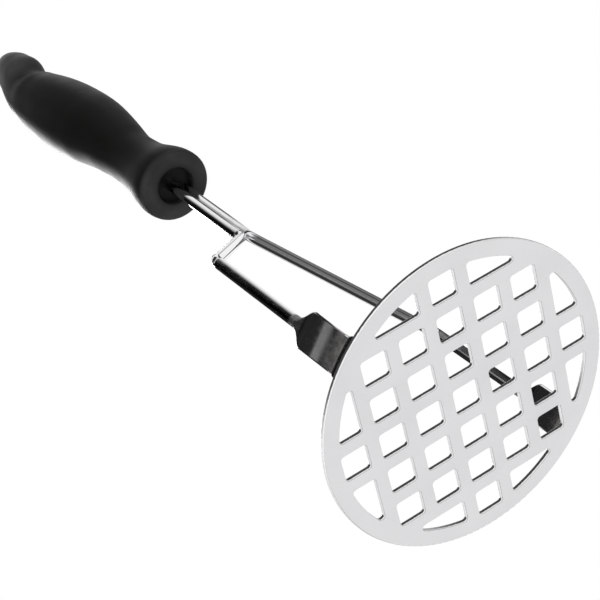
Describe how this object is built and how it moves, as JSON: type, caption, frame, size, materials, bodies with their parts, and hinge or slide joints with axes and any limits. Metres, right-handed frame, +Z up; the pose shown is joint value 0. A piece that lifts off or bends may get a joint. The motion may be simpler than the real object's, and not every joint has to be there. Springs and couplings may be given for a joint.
{
  "type": "potato masher",
  "caption": "Potato masher with a round perforated plate on a forked chromed stem whose forged arms end in flat feet, and a moulded black handle with an upturned lip.",
  "frame": {"origin": "centre of the mashing face, on the surface that the masher stands on", "axes": "+Z up the stem to the handle, X across the fork from the left arm to the right arm, -Y on the side where the handle's lip turns up"},
  "size_m": [0.0856, 0.084, 0.2792],
  "materials": {
    "plate_steel": "pale satin sheet with rounded edges",
    "arm_chrome": "bright polished",
    "weld_steel": "dull, heat darkened",
    "handle_plastic": "satin black moulding"
  },
  "bodies": {
    "root": {"mashing_plate": "plate_steel", "right_arm": "arm_chrome", "left_arm": "arm_chrome", "foot_welds": "weld_steel", "handle": "handle_plastic"}
  },
  "joints": []
}
